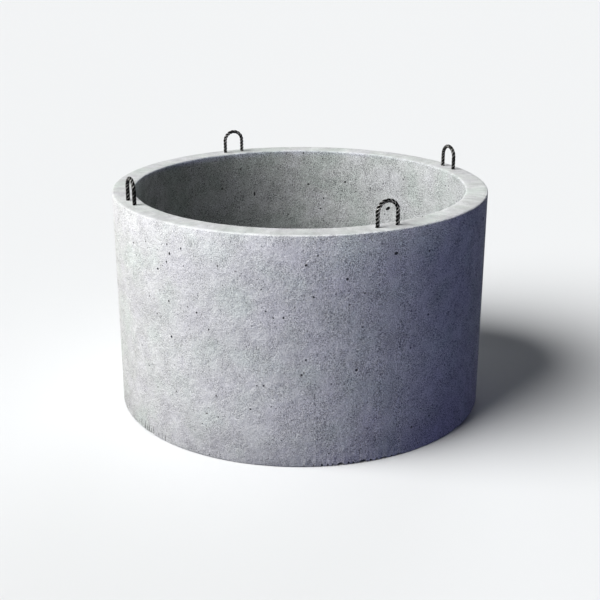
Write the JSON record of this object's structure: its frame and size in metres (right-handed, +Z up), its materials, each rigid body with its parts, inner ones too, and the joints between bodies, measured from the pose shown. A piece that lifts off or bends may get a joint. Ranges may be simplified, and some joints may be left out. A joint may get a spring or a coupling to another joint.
{
  "type": "concrete culvert ring",
  "caption": "Upright precast concrete pipe ring with a plain bore, flat chamfered rims and bar lifting loops cast into the upper rim.",
  "frame": {"origin": "centre of the lower rim, on the floor that the ring stands on", "axes": "+Z up along the ring's axis; the four lifting loops stand on the +X, -X, +Y and -Y axes, with the front loop at -Y"},
  "size_m": [1.7, 1.7, 1.112],
  "materials": {
    "concrete": "matte",
    "loop_bar": "satin"
  },
  "bodies": {
    "root": {"concrete_ring": "concrete", "lifting_loop_front": "loop_bar", "lifting_loop_right": "loop_bar", "lifting_loop_back": "loop_bar", "lifting_loop_left": "loop_bar"}
  },
  "joints": []
}
